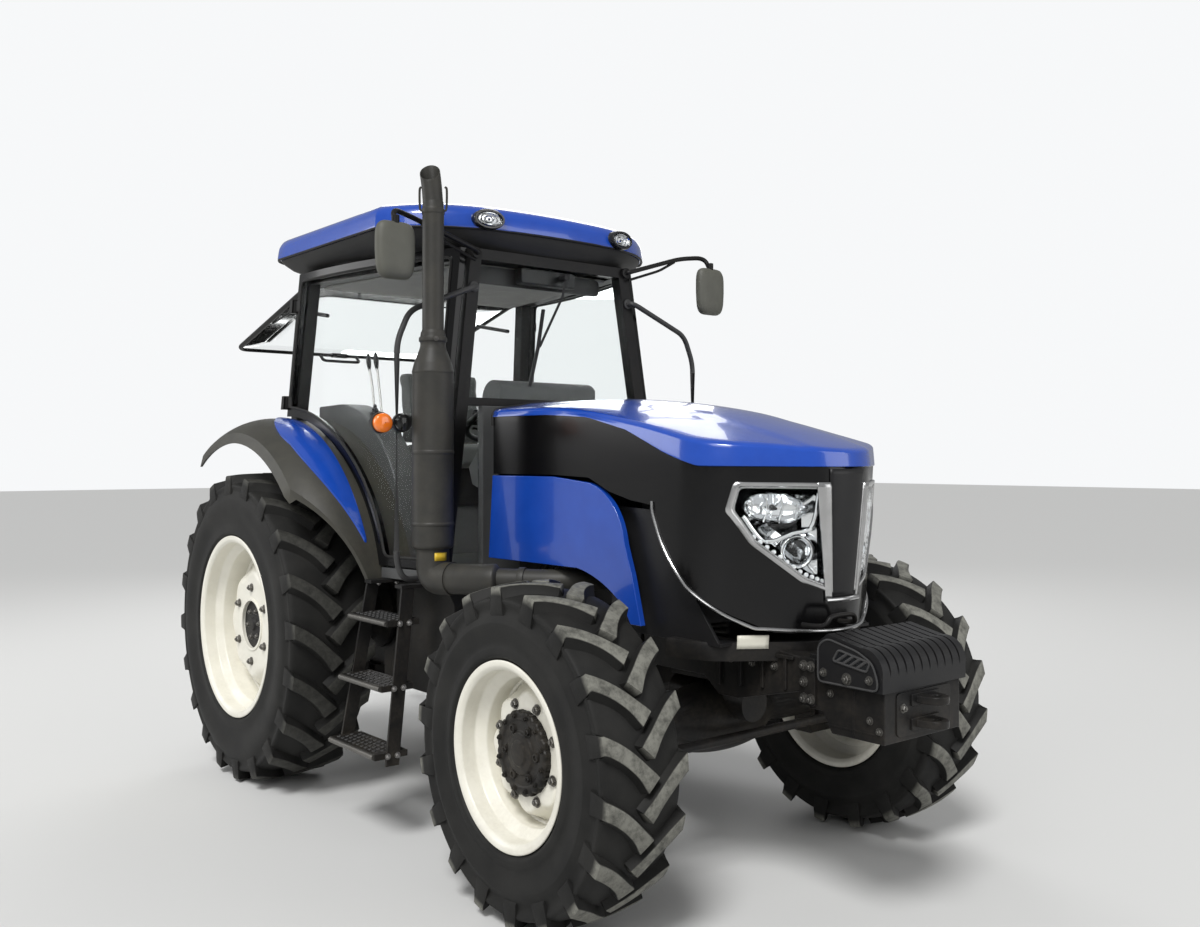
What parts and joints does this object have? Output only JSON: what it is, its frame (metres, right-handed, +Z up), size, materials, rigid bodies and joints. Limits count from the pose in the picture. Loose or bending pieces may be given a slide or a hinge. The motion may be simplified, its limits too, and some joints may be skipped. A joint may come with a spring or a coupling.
{
  "type": "farm tractor",
  "caption": "Four-wheel-drive farm tractor with a glazed cab, hinged hood, front weights, side steps, upright exhaust and a rear three-point linkage.",
  "frame": {"origin": "on the ground, below the middle of the whole machine", "axes": "+X forwards, +Y to the tractor's left, +Z up"},
  "size_m": [4.5759, 2.129, 2.9001],
  "materials": {
    "tyre": "worn rubber",
    "rim_paint": "semi-gloss",
    "dark_paint": "satin",
    "chassis_paint": "satin",
    "casting": "rough",
    "blue_paint": "gloss",
    "black_gloss": "gloss",
    "charcoal_plastic": "matte",
    "cab_trim": "matte",
    "glass": "clear",
    "lamp_glass": "clear",
    "core": "matte",
    "seat_fabric": "woven",
    "bright_steel": "worn"
  },
  "bodies": {
    "chassis": {"bulkhead": "dark_paint", "cab_floor": "cab_trim", "cab_frame": "dark_paint", "cab_mounts": "dark_paint", "control_levers": "cab_trim", "dashboard": "cab_trim", "drawbar": "dark_paint", "driveshaft_guard": "dark_paint", "engine_block": "casting", "exhaust_stack": "dark_paint", "fender_covers": "blue_paint", "fenders": "charcoal_plastic", "front_axle": "dark_paint", "front_frame": "dark_paint", "front_weights": "dark_paint", "handrails": "dark_paint", "lamps": "lamp_glass", "mirrors": "black_gloss", "pto_shaft": "bright_steel", "radiator": "core", "rear_axle": "casting", "rear_window": "dark_paint", "roof_cap": "blue_paint", "roof_tray": "charcoal_plastic", "seat_back": "seat_fabric", "seat_base": "cab_trim", "seat_cushion": "seat_fabric", "side_consoles": "cab_trim", "side_mesh": "dark_paint", "side_panels": "blue_paint", "side_tanks": "charcoal_plastic", "steps": "dark_paint", "top_link": "bright_steel", "transmission_housing": "casting", "weight_carrier": "dark_paint", "windshield": "glass"},
    "rear_wheel_right": {"rear_tyre_right": "tyre", "rear_rim_right": "rim_paint"},
    "rear_wheel_left": {"rear_tyre_left": "tyre", "rear_rim_left": "rim_paint"},
    "steer_right": {"knuckle_right": "dark_paint"},
    "steer_left": {"knuckle_left": "dark_paint"},
    "front_wheel_right": {"front_tyre_right": "tyre", "front_rim_right": "rim_paint", "front_hub_right": "dark_paint"},
    "front_wheel_left": {"front_tyre_left": "tyre", "front_rim_left": "rim_paint", "front_hub_left": "dark_paint"},
    "tie_rod": {"tie_rod": "dark_paint"},
    "steering_wheel": {"steering_wheel": "cab_trim"},
    "door_right": {"door_right": "black_gloss", "door_glass_right": "glass"},
    "door_left": {"door_left": "black_gloss", "door_glass_left": "glass"},
    "hood": {"hood_top": "blue_paint", "hood_nose": "black_gloss", "headlights": "lamp_glass"},
    "lower_links": {"lower_links": "dark_paint"},
    "lift_arms": {"lift_arms": "dark_paint"},
    "lift_rods": {"lift_rods": "dark_paint"}
  },
  "joints": [
    {"name": "rear_wheel_right_roll", "type": "hinge", "parent": "chassis", "child": "rear_wheel_right", "pos_m": [-1.216, -0.85, 0.775], "axis": [0, 1, 0], "continuous": true},
    {"name": "rear_wheel_left_roll", "type": "hinge", "parent": "chassis", "child": "rear_wheel_left", "pos_m": [-1.216, 0.85, 0.775], "axis": [0, 1, 0], "continuous": true},
    {"name": "steer_right_turn", "type": "hinge", "parent": "chassis", "child": "steer_right", "pos_m": [1.204, -0.64, 0.595], "axis": [0, 0, 1], "range_deg": [-35, 35]},
    {"name": "steer_left_turn", "type": "hinge", "parent": "chassis", "child": "steer_left", "pos_m": [1.204, 0.64, 0.595], "axis": [0, 0, 1], "range_deg": [-35, 35]},
    {"name": "front_wheel_right_roll", "type": "hinge", "parent": "steer_right", "child": "front_wheel_right", "pos_m": [1.204, -0.86, 0.595], "axis": [0, 1, 0], "continuous": true},
    {"name": "front_wheel_left_roll", "type": "hinge", "parent": "steer_left", "child": "front_wheel_left", "pos_m": [1.204, 0.86, 0.595], "axis": [0, 1, 0], "continuous": true},
    {"name": "tie_rod_slide", "type": "slide", "parent": "chassis", "child": "tie_rod", "axis": [0, 1, 0], "range_m": [-0.113, 0.113]},
    {"name": "steering_wheel_turn", "type": "hinge", "parent": "chassis", "child": "steering_wheel", "pos_m": [-0.336, 0, 1.81], "axis": [-0.4695, 0, 0.8829], "range_deg": [-351, 351]},
    {"name": "door_right_hinge", "type": "hinge", "parent": "chassis", "child": "door_right", "pos_m": [-1.226, -0.771, 1.85], "axis": [-0.1092, -0.0417, -0.9931], "range_deg": [0, 70]},
    {"name": "door_left_hinge", "type": "hinge", "parent": "chassis", "child": "door_left", "pos_m": [-1.226, 0.771, 1.85], "axis": [0.1092, -0.0417, 0.9931], "range_deg": [0, 70]},
    {"name": "hood_hinge", "type": "hinge", "parent": "chassis", "child": "hood", "pos_m": [0.289, 0, 1.87], "axis": [0, -1, 0], "range_deg": [0, 50]},
    {"name": "lower_links_lift", "type": "hinge", "parent": "chassis", "child": "lower_links", "pos_m": [-1.326, 0, 0.44], "axis": [0, 1, 0], "range_deg": [-10, 35]},
    {"name": "lift_arms_turn", "type": "hinge", "parent": "chassis", "child": "lift_arms", "pos_m": [-1.456, 0, 1], "axis": [0, 1, 0], "range_deg": [-13.3, 46.4]},
    {"name": "lift_rods_swing", "type": "hinge", "parent": "lift_arms", "child": "lift_rods", "pos_m": [-1.782, 0, 0.925], "axis": [0, 1, 0], "range_deg": [-51.6, 14.8]}
  ],
  "couplings": [
    {"joint": "steer_left_turn", "follows": "steer_right_turn", "ratio": 1},
    {"joint": "tie_rod_slide", "follows": "steer_right_turn", "m_per_rad": 0.183},
    {"joint": "steering_wheel_turn", "follows": "steer_right_turn", "ratio": 10},
    {"joint": "lift_arms_turn", "follows": "lower_links_lift", "ratio": 1.32},
    {"joint": "lift_rods_swing", "follows": "lower_links_lift", "ratio": -1.47}
  ]
}
